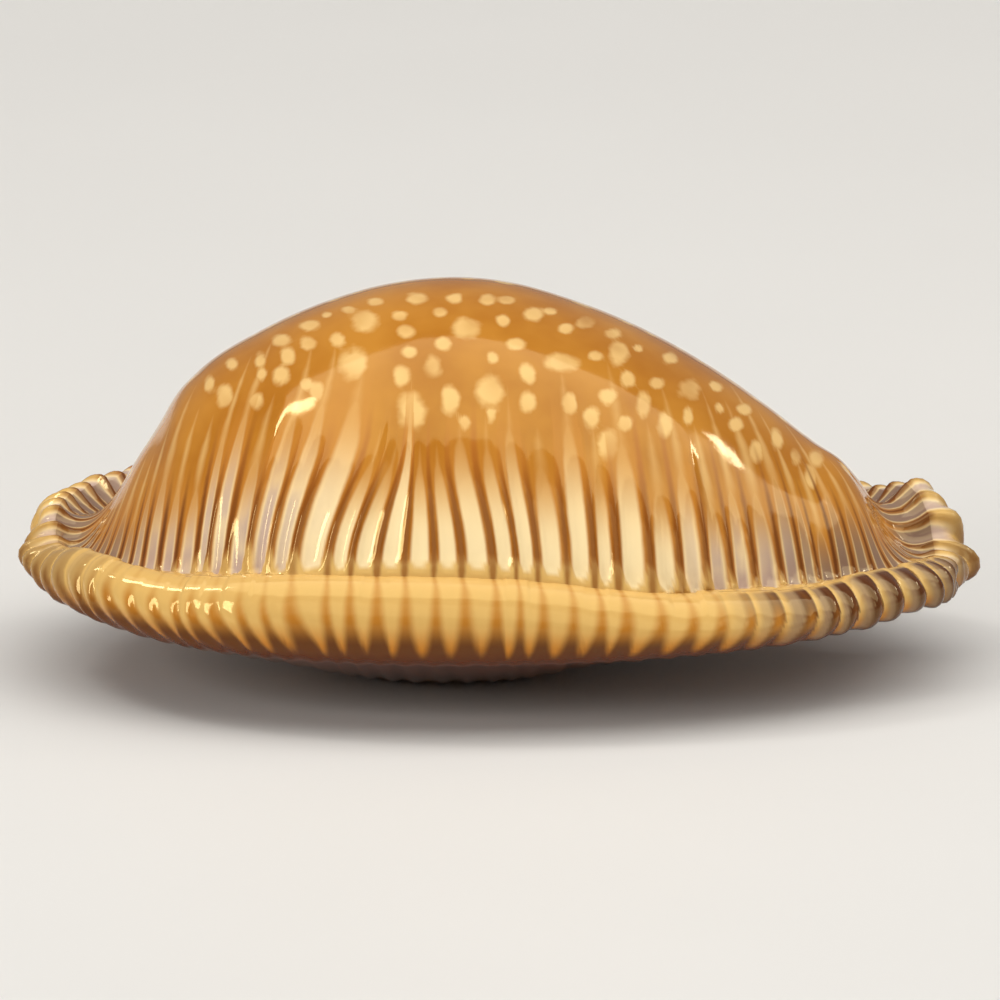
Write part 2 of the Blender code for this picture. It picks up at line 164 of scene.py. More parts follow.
# Where the ribs have faded into the back and where they are full, in steps from the crease to the
# midline; then, in degrees above the rim's crest, where its smooth crown starts and is full, and where
# its grooves start and are full
RIB_FADE = (0.52, 0.15)
CROWN_DEGREES = (20, 88)
GROOVE_DEGREES = (48, 5)

# Round lower ends of the furrows: (degrees round the rim, length up the flank), for how much higher
# an end's sides are than its middle and for where its middle starts above the crease. Then come the
# length over which a furrow opens and its half width in rib spacings.
FURROW_END_RISES = [
    (0, 1.0), (90, 0.6), (180, 1.0), (200, 1.3), (222, 1.9), (245, 1.4), (256, 0.5), (268, 0.5),
    (283, 1.3), (303, 1.7), (323, 1.4), (340, 1.0),
]
FURROW_END_STARTS = [
    (0, 0.3), (90, 0.3), (180, 0.3), (205, 0.7), (235, 0.6), (248, 0.5), (258, 0.7), (270, 0.7),
    (285, 0.4), (303, 0.5), (320, 0.7), (340, 0.5),
]
FURROW_END_RUN = 0.24
FURROW_HALF_WIDTH = 0.36

# Bulges of the rim between its grooves: where a groove lies and where a brown line does, in ribs from
# the rib above, and how far a bulge leans to its anterior side
GROOVE_PLACE = 0.32
LINE_ON_RIM = 0.12
BULGE_LEAN = 1.25

# How far the ribs slide along the shell from the crest of the rim to its underside, in ribs
RIB_SLANTS = [
    (0, 0.0), (35, 0.1), (48, 0.5), (65, 0.6), (80, 0.3), (92, 0.0), (102, -0.1), (115, -0.7),
    (135, -1.1), (160, -0.8), (180, 0.0), (200, 0.9), (225, 1.3), (245, 0.9), (258, 0.1),
    (268, 0.0), (280, -0.3), (295, -0.6), (312, -0.5), (325, -0.1), (340, 0.2),
]

# Knobs where ribs run out past the rim at the tips, and the two notches beside them:
# (rib counted from the anterior tip, degrees above the crest, reach, spread in ribs)
KNOBS = [
    (1, -8, 0.9, 0.7), (2.3, 45, 0.5, 0.5), (-1.2, 0, -0.8, 1.3), (2, -84, 1.9, 0.9),
    (3.7, 60, 0.4, 0.6), (-42.6, 12, 0.5, 1.2), (43, 30, -0.6, 0.8),
]
KNOB_SPREAD_DEGREES = 30
BASE_DEGREES = 80

# The lines lean together where they run up the outer flank: their meeting place along the shell,
# its reach, the pull behind and ahead of it, and the rise over which the pull sets in
FAN_CENTRE = -5.0
FAN_REACH = 6.0
FAN_PULLS = (0.72, 0.45)
FAN_START = 1.0
FAN_RUN = 8.0

# Brown lines: (degrees round the rim, length up the flank from the crease)
LINE_LENGTHS = [
    (0, 5.0), (40, 7.0), (90, 9.5), (140, 9.5), (180, 5.0), (215, 8.5), (237, 11.5), (258, 10.5),
    (275, 11.0), (295, 12.5), (318, 11.5), (340, 7.5),
]
# Half widths in rib spacings, by place down the column (0 midline, 1 crease, 2 underside, 3 slit)
LINE_HALF_WIDTHS = [
    (0.0, 0.05), (0.5, 0.09), (0.65, 0.12), (0.8, 0.13), (0.93, 0.11), (1.0, 0.06), (1.12, 0.07),
    (1.28, 0.13), (1.47, 0.20), (1.6, 0.27), (1.7, 0.35), (1.8, 0.48), (1.95, 0.60), (2.3, 0.50),
    (2.7, 0.30), (3.0, 0.26), (3.4, 0.2), (5.0, 0.2),
]

# Pale furrows between the lines: (degrees round the rim, length up the flank to their pointed ends)
FURROW_LENGTHS = [
    (0, 5.0), (40, 7.0), (90, 10.0), (140, 9.0), (180, 4.5), (200, 5.5), (218, 8.0), (237, 11.0),
    (258, 10.0), (275, 9.6), (295, 9.5), (312, 9.0), (330, 6.5), (345, 5.5),
]
# Lower edge of a furrow in rib spacings from the rib, and how blunt its pointed end is
FURROW_EDGE = 0.17
FURROW_TAPER = 4.0
# How far pale streaks run on above the furrows, in furrow lengths
STREAK_REACHES = [
    (0, 1.3), (90, 1.5), (180, 1.4), (212, 1.8), (240, 1.5), (256, 1.2), (270, 1.2), (284, 1.6),
    (300, 1.9), (325, 1.9), (340, 1.5),
]

# Least and most of what differs by chance: rib height, line length and width, furrow length
RIB_VIGOUR = (0.8, 1.2)
LINE_ENDS = (0.75, 1.2)
LINE_GIRTHS = (0.8, 1.25)
FURROW_ENDS = (0.7, 1.15)

# Angle in degrees at which the camera looks down
VIEW_ELEVATION = 15.0

# Pale spots on the camera's side, as seen from there: place along the shell, height up the view,
# half width and half height
SPOTS = [
    (-1.8, 20.9, 0.88, 0.63), (4.1, 18.8, 1.0, 0.63), (-0.3, 17.0, 0.85, 1.05),
    (7.7, 19.4, 0.6, 0.75), (8.2, 17.7, 0.45, 0.55), (7.0, 16.6, 0.55, 0.55),
    (9.2, 16.2, 0.45, 0.75), (8.1, 15.0, 0.45, 0.55), (7.0, 13.7, 0.7, 1.05),
    (2.4, 21.8, 0.63, 0.45), (-0.5, 22.7, 0.5, 0.32), (-4.9, 22.8, 0.63, 0.38),
    (-2.6, 22.8, 0.5, 0.3), (-6.0, 21.7, 0.5, 0.32), (-5.6, 20.7, 0.55, 0.42),
    (-3.5, 21.9, 0.45, 0.32), (0.5, 21.4, 0.45, 0.38), (1.3, 19.9, 0.55, 0.38),
    (-3.3, 19.9, 0.5, 0.42), (-5.4, 19.4, 0.5, 0.38), (-0.2, 19.1, 0.38, 0.38),
    (-3.9, 18.6, 0.55, 0.7), (-5.8, 17.9, 0.55, 0.63), (-2.8, 16.4, 0.55, 0.88),
    (2.0, 18.1, 0.5, 0.63), (2.0, 16.3, 0.5, 0.7), (4.6, 16.2, 0.45, 0.63),
    (6.0, 15.4, 0.5, 0.75), (5.6, 21.3, 0.55, 0.38), (4.4, 20.9, 0.5, 0.3),
    (6.2, 19.2, 0.45, 0.32), (7.3, 20.6, 0.5, 0.32), (10.1, 17.5, 0.45, 0.38),
    (10.9, 19.1, 0.5, 0.38), (8.9, 19.7, 0.32, 0.25), (10.6, 15.0, 0.5, 0.82),
    (-5.2, 15.8, 0.85, 1.1), (0.7, 22.7, 0.5, 0.25), (3.4, 22.0, 0.45, 0.25),
    (-1.9, 15.0, 0.38, 0.5), (-0.3, 15.5, 0.32, 0.5), (-8.2, 21.4, 0.88, 0.63),
    (-8.9, 18.7, 0.9, 0.95), (-9.9, 20.2, 0.45, 0.45), (-7.5, 22.6, 0.5, 0.25),
    (-9.2, 22.1, 0.45, 0.25), (-10.6, 21.8, 0.32, 0.2), (-11.7, 20.0, 0.45, 0.45),
    (-11.6, 21.1, 0.63, 0.38), (-13.4, 20.2, 0.55, 0.38), (-13.0, 19.2, 0.45, 0.55),
    (-13.4, 18.0, 0.55, 0.63), (-14.7, 18.9, 0.38, 0.55), (-14.6, 18.1, 0.32, 0.5),
    (-16.9, 16.7, 0.5, 0.75), (-14.9, 16.4, 0.45, 0.55), (-11.1, 16.9, 0.45, 0.63),
    (-11.8, 17.5, 0.38, 0.45), (-16.5, 18.7, 0.38, 0.38), (-17.9, 17.5, 0.32, 0.55),
    (12.1, 17.1, 0.7, 0.6), (15.6, 15.9, 0.45, 0.38), (14.0, 15.9, 0.32, 0.38),
    (15.0, 14.9, 0.45, 0.45), (16.3, 13.2, 0.5, 0.7), (17.6, 14.0, 0.38, 0.75),
    (18.8, 12.9, 0.32, 0.55), (20.1, 12.8, 0.45, 0.55), (19.7, 11.7, 0.38, 0.8),
    (13.8, 17.3, 0.45, 0.32), (12.0, 15.5, 0.32, 0.63),
]
SPOT_GROWTH = 1.15

# Spots placed at random where the camera doesn't see the back, or sees it edge-on
BACK_SPOTS = 250
BACK_SPOT_RADII = (0.35, 0.85)
BACK_SPOT_GAP = 0.35
BACK_SPOT_LOWEST = 12
FACING_AWAY = 0.13
FAR_FROM_SPOTS = -9.0

# Rings of the net: the back, the flank, the rim, the base, the lip, and inside
DOME_RINGS = 52
FLANK_TOP = 0.50
FLANK_RINGS = 22
RIM_TOP_DEGREES = 86
RIM_LOW_DEGREES = -70
RIM_RINGS = 16
BASE_RINGS = 12
LIP_DEGREES = (30, 60, 90)
FLOOR_STEPS = (0.1, 0.3, 0.5, 0.7, 0.85, 1.0)
ROOF_STEPS = (0.15, 0.3, 0.45, 0.6, 0.75, 0.88, 1.0)

# Glaze: tint of its reflections, refraction, and depth of its unevenness in metres
WARM_GLOSS = (1.0, 0.82, 0.38)
GLAZE_IOR = 1.58
BUMP_DEPTH = 0.00006

# Noise in the colours, in clouds per metre
AMBER_CLOUDS = 170
RAGGED_EDGES = 900
STREAK_CLOUDS = 600
SPOT_CLOUDS = 330
LILAC_CLOUDS = 300
GLAZE_WAVES = 260
GLAZE_PORES = 2600
GLAZE_WEAR = 420
TABLE_MOTTLE = 14

# Lamps in metres: the large box overhead, which looks straight down, then (name, place, width and
# depth, power against side_power, spin in radians) of those that look at the shell
LAMP_COLOUR = (1.0, 0.98, 0.95)
KEY_PLACE = (0.42, -0.04, 0.62)
KEY_SIZE = (1.66, 0.62)
KEY_SPIN = math.radians(4)
FRONT_PLACE = (0, -0.95, 0.55)
FRONT_SIZE = (1.5, 0.5)
SMALL_BOXES = [
    ("near_left_box", (-0.62, -0.45, 0.34), (0.14, 0.3), 2.6, 0),
    ("near_right_box", (0.62, -0.45, 0.34), (0.14, 0.3), 0.3, 0),
    ("left_box", (-0.41, 0.055, 0.57), (0.07, 0.16), 1, 0),
    ("right_box", (0.51, 0.21, 0.43), (0.13, 0.025), 0.3, 0.35),
]

# Camera: width of its sensor in millimetres, and the nearest it sees in metres
SENSOR_WIDTH = 36
CLIP_START = 0.01


def through(stations, where):
    """Smooth curve through (place, value) stations, read at the places in where."""
    place, value = np.array(stations, dtype=float).T
    slope = np.gradient(value, place)
    left = np.clip(np.searchsorted(place, where) - 1, 0, len(place) - 2)
    step = place[left + 1] - place[left]
    part = (where - place[left]) / step
    from_left = (1 + 2 * part) * value[left] + part * step * slope[left]
    from_right = (3 - 2 * part) * value[left + 1] + (part - 1) * step * slope[left + 1]
    return (1 - part) ** 2 * from_left + part ** 2 * from_right


def around(stations, degrees):
    """Smooth closed curve through stations given in degrees round the rim."""
    before = [(place - 360, value) for place, value in stations[-3:]]
    after = [(place + 360, value) for place, value in stations[:3]]
    return through(before + stations + after, degrees)


def smoothstep(low, high, value):
    """0 below low, 1 above high and an easy curve between."""
    part = np.clip((value - low) / (high - low), 0, 1)
    return part * part * (3 - 2 * part)


def wrapped(offset):
    """Offset in rib spacings brought back to between -0.5 and 0.5."""
    return offset - np.round(offset)


def linear(red, green, blue):
    """Scene-linear colour of a colour as it looks on a screen, given out of 255."""
    def one(value):
        value = value / 255
        return value / 12.92 if value <= 0.04045 else ((value + 0.055) / 1.055) ** 2.4
    return (one(red), one(green), one(blue))


def rim_outline(angle):
    """Plan of the rim's crest."""
    cosine = np.cos(angle)
    sine = np.sin(angle)
    x = HALF_LENGTH * np.sign(cosine) * np.abs(cosine) ** (2 / OUTLINE_POWER)
    y = HALF_WIDTH * np.sign(sine) * np.abs(sine) ** (2 / OUTLINE_POWER)
    return x, y * (1 - POSTERIOR_FULLNESS * cosine)


def column_angles():
    """Angle of every column, so that ribs fall on the whole numbers of columns per rib."""
    half_turn = np.linspace(0, math.pi, 4001)
    x, y = rim_outline(half_turn)
    steps = np.hypot(np.diff(x), np.diff(y))
    along = np.concatenate([[0], np.cumsum(steps)])
    half = RIBS // 2
    count = np.arange(half * COLUMNS_PER_RIB + 1) / COLUMNS_PER_RIB

    spacing = through(RIB_SPACING, (x[1:] + x[:-1]) / 2)
    ribs_passed = np.concatenate([[0], np.cumsum(steps / spacing)])
    ribs_passed *= half / ribs_passed[-1]
    inner = np.interp(count, ribs_passed, half_turn)

    places = np.interp(-np.array(OUTER_RIBS), -x, along)
    stations = [(0, 0)] + [(OUTER_RIBS_START + n, place) for n, place in enumerate(places)]
    stations += [(half, along[-1])]
    outer = np.interp(through(stations, count), along, half_turn)
    return np.concatenate([inner, 2 * math.pi - outer[-2:0:-1]])


def dome_height(x, y):
    """Height of the back where it stands clear of the rim."""
    across = np.clip(1 - (y / through(DOME_HALF_WIDTHS, x)) ** 2, 0, 1)
    return DOME_LEVEL + through(DOME_RISES, x) * np.sqrt(across)


def filleted(height, other, size):
    """Higher of two surfaces, with the corner between them filled."""
    return (height + other + np.sqrt((height - other) ** 2 + size ** 2)) / 2


class Columns:
    """Plan points, heights and rib facts that every column of the net shares."""

    def __init__(self):
        angle = column_angles()
        self.degrees = np.degrees(angle)
        self.rib = np.arange(len(angle)) / COLUMNS_PER_RIB
        self.side = -np.sin(angle)
        self.forward = np.where(self.degrees > 180, 1.0, -1.0)
        self.plan_rim(angle)
        self.plan_inside(angle)
        self.plan_ribs()

    def plan_rim(self, angle):
        """The rim's crest and crease, and how far each column belongs to the flange and the tips."""
        self.crest = np.stack(rim_outline(angle), axis=1)
        ahead = np.roll(self.crest, -1, axis=0) - np.roll(self.crest, 1, axis=0)
        outward = np.stack([ahead[:, 1], -ahead[:, 0]], axis=1)
        self.outward = outward / np.linalg.norm(outward, axis=1)[:, None]
        self.thickness = around(RIM_THICKNESSES, self.degrees)
        self.crease = self.crest - self.thickness[:, None] * self.outward
        self.crease_height = around(CREASE_HEIGHTS, self.degrees)
        self.underside_height = around(UNDERSIDE_HEIGHTS, self.degrees)
        along = self.crest[:, 0]
        span = np.abs(along)
        self.endness = np.clip((span - FLANGE_START) / FLANGE_RUN, 0, 1) ** 1.5
        nearer = smoothstep(-0.1, 0.5, self.side) * smoothstep(*OUTER_DISH, span)
        self.dished = self.endness * (1 - nearer)
        posterior = smoothstep(*POSTERIOR_TIP, -along)
        self.tip = smoothstep(*ANTERIOR_TIP, along) + posterior
        # Painted shade, partly purple-grey and brown tint, on the rim's bulges at the ends; less on the
        # inner side
        self.shade = smoothstep(*ANTERIOR_SHADE, along) + POSTERIOR_SHADE * posterior
        self.shade *= 0.4 + 0.6 * smoothstep(-0.05, 0.1, self.side)
        self.open_rim = smoothstep(*OPEN_RIM, span) * smoothstep(0.25, -0.05, self.side)

    def plan_inside(self, angle):
        """The midline of the back, the slit and the hollow."""
        flat = np.zeros(len(angle))
        lengthwise = (np.cos(angle) + np.roll(np.cos(angle)[::-1], 1)) / 2
        self.midline = np.stack([MIDLINE_CENTRE + MIDLINE_HALF * lengthwise, flat], axis=1)
        slit_x = SLIT_HALF_LENGTH * np.cos(angle)
        slit_side = np.sign(np.sin(angle)) * np.abs(np.sin(angle)) ** 0.6
        slit_y = through(SLIT_MIDDLES, slit_x) + slit_side * through(SLIT_HALF_WIDTHS, slit_x)
        self.slit = np.stack([slit_x, slit_y], axis=1)
        away = self.crest - self.slit
        self.from_slit = away / np.linalg.norm(away, axis=1)[:, None]
        self.lip_height = through(LIP_HEIGHTS, slit_x)
        self.lip_wall = through(LIP_WALLS, slit_x)
        hollow = (HOLLOW_HALF_LENGTH * np.cos(angle), HOLLOW_HALF_WIDTH * np.sin(angle))
        self.hollow = np.stack(hollow, axis=1)
        hollow_x = MIDLINE_CENTRE + HOLLOW_MIDLINE_HALF * lengthwise
        self.hollow_midline = np.stack([hollow_x, flat], axis=1)

    def plan_ribs(self):
        """Sizes of the ribs, lines and furrows, with what differs between them by chance."""
        self.flank_ribs = around(FLANK_RIB_HEIGHTS, self.degrees)
        self.rim_ribs = around(RIM_RIB_HEIGHTS, self.degrees)
        self.furrow_end_rise = around(FURROW_END_RISES, self.degrees)
        self.furrow_end_start = around(FURROW_END_STARTS, self.degrees)
        self.slant = around(RIB_SLANTS, self.degrees)
        chance = np.random.default_rng(SEED)
        number = np.round(self.rib).astype(int) % RIBS
        self.from_rib = wrapped(self.rib)
        self.vigour = chance.uniform(*RIB_VIGOUR, RIBS)[number]
        self.line_end = chance.uniform(*LINE_ENDS, RIBS)[number]
        self.line_girth = chance.uniform(*LINE_GIRTHS, RIBS)
        furrow = np.floor(self.rib).astype(int) % RIBS
        furrow_end = chance.uniform(*FURROW_ENDS, RIBS)[furrow]
        self.line_reach = around(LINE_LENGTHS, self.degrees) * self.line_end
        self.furrow_reach = around(FURROW_LENGTHS, self.degrees) * furrow_end
        self.streak_reach = around(STREAK_REACHES, self.degrees)

    def slid(self, degrees):
        """Rib count at each column once the ribs have slid along, this far down the rim."""
        return self.rib - self.slant * smoothstep(40, RIM_LOW_DEGREES, degrees)


def ring(plan, height):
    """One ring of the net from its plan points and heights."""
    return np.column_stack([plan, np.broadcast_to(height, len(plan))])


def upper_height(columns, plan):
    """Height of the back and of the dished flange between it and the rim."""
    inward = np.linalg.norm(plan - columns.crease, axis=1)
    settled = 1 - np.exp(-inward / FLANGE_DIP_RUN)
    flange = columns.crease_height - FLANGE_DIP * columns.dished * settled
    fillet = 0.1 + FILLET * columns.endness
    dome = dome_height(plan[:, 0], plan[:, 1])
    at_crease = dome_height(columns.crease[:, 0], columns.crease[:, 1])
    excess = filleted(at_crease, columns.crease_height, fillet) - columns.crease_height
    return filleted(dome, flange, fillet) - excess * np.exp(-inward / FLANGE_DIP_RUN)


def met_at_midline(height, step):
    """Heights of a ring, eased so that the two sides agree where they meet at step 1."""
    other_side = np.roll(height[::-1], 1)
    return height + step ** 4 * (other_side - height) / 2


def fanned(columns, plan, height):
    """Plan of a flank ring whose columns lean together above the outer side's middle."""
    away = plan[:, 0] - FAN_CENTRE
    strength = np.where(away < 0, *FAN_PULLS)
    pull = -strength * away * np.exp(-(away / FAN_REACH) ** 2)
    risen = smoothstep(FAN_START, FAN_RUN, height - columns.crease_height)
    moved = plan.copy()
    moved[:, 0] += pull * risen * smoothstep(0.3, 0.8, columns.side)
    return moved


def back_ring(columns, step):
    """Ring on the back or flank; step is 1 on the midline and 0 in the crease above the rim."""
    run = 1 - math.cos(step * math.pi / 2)
    plan = columns.crease + run * (columns.midline - columns.crease)
    height = met_at_midline(upper_height(columns, plan), step)
    leaning = 1 - smoothstep(0.6, 1.0, step)
    plan += leaning * (fanned(columns, plan, height) - plan)
    return ring(plan, met_at_midline(upper_height(columns, plan), step))


def rim_ring(columns, degrees):
    """Ring on the rim, which is half an ellipse from the crease down to the underside."""
    turn = math.radians(degrees)
    out = columns.thickness * (math.cos(turn) - 1)
    middle = (columns.crease_height + columns.underside_height) / 2
    half = (columns.crease_height - columns.underside_height) / 2
    plan = columns.crest + out[:, None] * columns.outward
    return ring(plan, middle + half * math.sin(turn))


def base_ring(columns, step):
    """Ring on the base; step is 1 where the rim ends and 0 where the lip starts to turn in."""
    edge = rim_ring(columns, RIM_LOW_DEGREES)
    start = columns.slit + LIP_ROUNDING * columns.from_slit
    turn = math.radians(-RIM_LOW_DEGREES)
    half = (columns.crease_height - columns.underside_height) / 2
    edge_slope = half / columns.thickness * math.cos(turn) / math.sin(turn)
    length = np.linalg.norm(edge[:, :2] - start, axis=1)
    rise = edge[:, 2] - columns.lip_height
    eased = step * step * (3 - 2 * step)
    bends = LIP_SLOPE * step * (1 - step) ** 2 + edge_slope * step * step * (step - 1)
    height = columns.lip_height + rise * eased + length * bends
    return ring(start + step * (edge[:, :2] - start), height)


def lip_ring(columns, degrees):
    """Ring on the rounded edge of the slit."""
    turn = math.radians(degrees)
    plan = columns.slit + LIP_ROUNDING * (1 - math.sin(turn)) * columns.from_slit
    return ring(plan, columns.lip_height + LIP_ROUNDING * (1 - math.cos(turn)))


def floor_ring(columns, step):
    """Ring on the floor of the hollow, from the top of the slit's wall to the widest line."""
    plan = columns.slit + step * (columns.hollow - columns.slit)
    start = columns.lip_height + columns.lip_wall
    return ring(plan, start + (HOLLOW_WIDEST_HEIGHT - start) * step ** 3)


def roof_ring(columns, step):
    """Ring on the roof of the hollow; step is 1 on its midline."""
    run = 1 - math.cos(step * math.pi / 2)
    plan = columns.hollow + run * (columns.hollow_midline - columns.hollow)
    top = dome_height(columns.hollow_midline[:, 0], columns.hollow_midline[:, 1]) - WALL
    arch = HOLLOW_WIDEST_HEIGHT + (top - HOLLOW_WIDEST_HEIGHT) * math.sin(step * math.pi / 2)
    height = np.minimum(arch, upper_height(columns, plan) - WALL)
    return ring(plan, met_at_midline(height, step))


def knob_reach(columns, degrees):
    """How far the knobs at the tips stand out from the rim, at this height on it."""
    reach = np.zeros(len(columns.rib))
    for rib, place, size, spread in KNOBS:
        away = (columns.rib - rib + RIBS / 2) % RIBS - RIBS / 2
        above = (degrees - place) / KNOB_SPREAD_DEGREES
        reach += size * np.exp(-(away / spread) ** 2 - above ** 2)
    return reach


def ridges(from_rib):
    """1 on the narrow back of a rib, falling in a hollow curve to 0 between two ribs."""
    offset = np.sqrt(from_rib ** 2 + RIB_ROUNDING ** 2) - RIB_ROUNDING
    return np.clip(1 - 2 * offset / (1 - RIB_ROUNDING), 0, 1) ** 2


def closing(columns, rise):
    """1 where the round lower end of a furrow has closed, 0 up in the furrow."""
    from_middle = np.clip((0.5 - np.abs(columns.from_rib)) / FURROW_HALF_WIDTH, 0, 1)
    end = columns.furrow_end_start + columns.furrow_end_rise * (1 - np.sqrt(1 - from_middle ** 2))
    return (1 - smoothstep(0, FURROW_END_RUN, rise - end)) * (1 - columns.open_rim)


def across_bulge(columns, count):
    """Place on a bulge of the rim, from 0 at its posterior groove to 1 at its anterior one."""
    return (columns.forward * wrapped(count) - GROOVE_PLACE) % 1


def bulges(columns, count):
    """Bulges on the rim, each highest towards its anterior side."""
    return np.abs(np.sin(math.pi * across_bulge(columns, count) ** BULGE_LEAN)) ** 0.9


def surface_normals(rings):
    """Outward unit normals of the net, from the differences between its rings and columns."""
    along = np.roll(rings, -1, axis=1) - np.roll(rings, 1, axis=1)
    down = np.gradient(rings, axis=0)
    normals = np.cross(down, along)
    return normals / np.maximum(np.linalg.norm(normals, axis=2), 1e-9)[:, :, None]


def flank_relief(columns, step, rise):
    """Height of the ribs on the flank; the furrows between them end above the crease."""
    fade = smoothstep(*RIB_FADE, step * columns.line_end)
    open_furrow = (1 - ridges(columns.from_rib)) * (1 - closing(columns, rise))
    return fade * columns.flank_ribs * columns.vigour * (1 - open_furrow)


def rim_relief(columns, degrees):
    """Height of the ribs on the rim: smooth over its crown, with grooves between them below."""
    count = columns.slid(degrees)
    crown = smoothstep(*CROWN_DEGREES, degrees)
    low = smoothstep(-30, RIM_LOW_DEGREES - 10, degrees)
    grooved = columns.tip + (1 - columns.tip) * smoothstep(*GROOVE_DEGREES, degrees)
    relief = columns.rim_ribs * columns.vigour * (1 - grooved * (1 - bulges(columns, count)))
    over_crown = 1 - columns.open_rim * (1 - ridges(columns.from_rib))
    relief += crown * (columns.flank_ribs * columns.vigour * over_crown - relief)
    return relief + low * (BASE_RIB_HEIGHT * ridges(wrapped(count)) - relief)


def outer_net(columns):
    """Rings from the midline of the back to the lip, their places down the column and rises."""
    dome = np.linspace(1, FLANK_TOP, DOME_RINGS, endpoint=False)
    flank = FLANK_TOP * np.linspace(1, 0, FLANK_RINGS) ** 1.25
    back = np.concatenate([dome, flank])
    rim = np.linspace(RIM_TOP_DEGREES, RIM_LOW_DEGREES, RIM_RINGS)
    base = np.linspace(1, 0, BASE_RINGS + 1)[1:]
    rings = [back_ring(columns, step) for step in back]
    rings += [rim_ring(columns, degrees) for degrees in rim]
    rings += [base_ring(columns, step) for step in base]
    rings += [lip_ring(columns, degrees) for degrees in LIP_DEGREES]
    smooth = np.array(rings)

    crease = len(back) - 1
    climbed = np.linalg.norm(np.diff(smooth[:crease + 1], axis=0), axis=2)[::-1]
    rise = np.zeros((len(smooth), len(columns.rib)))
    rise[:crease] = np.cumsum(climbed, axis=0)[::-1]

    reliefs = [flank_relief(columns, step, up) for step, up in zip(back, rise)]
    reliefs += [rim_relief(columns, degrees) + knob_reach(columns, degrees) for degrees in rim]
    teeth = ridges(wrapped(columns.slid(RIM_LOW_DEGREES)))
    for step in base:
        under = RIM_LOW_DEGREES - BASE_DEGREES * (1 - step)
        height = BASE_RIB_HEIGHT + (TOOTH_HEIGHT - BASE_RIB_HEIGHT) * (1 - step) ** 2
        reliefs.append(height * teeth + knob_reach(columns, under))
    reliefs += [TOOTH_HEIGHT * teeth for _ in LIP_DEGREES]
    place = np.concatenate([
        1 - back,
        1 + (90 - rim) / (90 - RIM_LOW_DEGREES),
        2 + (1 - base),
        3 + np.array(LIP_DEGREES) / 300,
    ])
    rings = smooth + np.array(reliefs)[:, :, None] * surface_normals(smooth)
    return rings, place, rise


def spot_field(points, normals):
    """How far inside a pale spot each point is: 1 at its middle, 0 at its edge, less outside."""
    elevation = math.radians(VIEW_ELEVATION)
    to_camera = np.array([0, -math.cos(elevation), math.sin(elevation)])
    up_view = np.array([0, math.sin(elevation), math.cos(elevation)])
    facing = normals @ to_camera
    along = points[:, 0]
    up = points @ up_view
    seen = np.full(len(points), FAR_FROM_SPOTS)
    for x, height, half_width, half_height in SPOTS:
        reach = np.hypot((along - x) / half_width, (up - height) / half_height) / SPOT_GROWTH
        seen = np.maximum(seen, 1 - reach)
    seen = np.where(facing > 0, seen, FAR_FROM_SPOTS)

    chance = np.random.default_rng(SEED)
    hidden = np.full(len(points), FAR_FROM_SPOTS)
    candidates = np.flatnonzero((facing < FACING_AWAY) & (points[:, 2] > BACK_SPOT_LOWEST))
    taken = []
    for choice in chance.permutation(candidates):
        radius = chance.uniform(*BACK_SPOT_RADII)
        middle = points[choice]
        if all(np.linalg.norm(middle - other) > radius + size + BACK_SPOT_GAP for other, size in taken):
            taken.append((middle, radius))
        if len(taken) == BACK_SPOTS:
            break
    for middle, radius in taken:
        away = np.linalg.norm(points - middle, axis=1)
        hidden = np.maximum(hidden, 1 - away / radius)
    return np.clip(np.maximum(seen, hidden), -1, 1)


class Net:
    """Vertices, faces and vertex facts of the shell while it is being put together."""

    def __init__(self):
        self.points = []
        self.faces = []
        self.facts = {}
        self.total = 0

    def add_ring(self, points, facts):
        """One closed loop of vertices; gives their numbers."""
        self.points.append(points)
        for name, values in facts.items():
            spread = np.broadcast_to(np.asarray(values, dtype=float), len(points))
            self.facts.setdefault(name, []).append(spread)
        numbers = np.arange(self.total, self.total + len(points))
        self.total += len(points)
        return numbers

    def bridge(self, upper, lower):
        """Faces between two loops, where one may have twice or more the other's columns."""
        ratio = max(len(upper), len(lower)) // min(len(upper), len(lower))
        if ratio == 1:
            quads = [upper, lower, np.roll(lower, -1), np.roll(upper, -1)]
            self.faces += np.stack(quads, axis=1).tolist()
            return
        wide, narrow = (upper, lower) if len(upper) > len(lower) else (lower, upper)
        after = np.roll(narrow, -1)
        fans = [np.roll(wide, -step)[::ratio] for step in range(ratio + 1)]
        fan = np.stack([narrow] + fans + [after], axis=1)
        if wide is upper:
            fan = fan[:, ::-1]
        self.faces += fan.tolist()


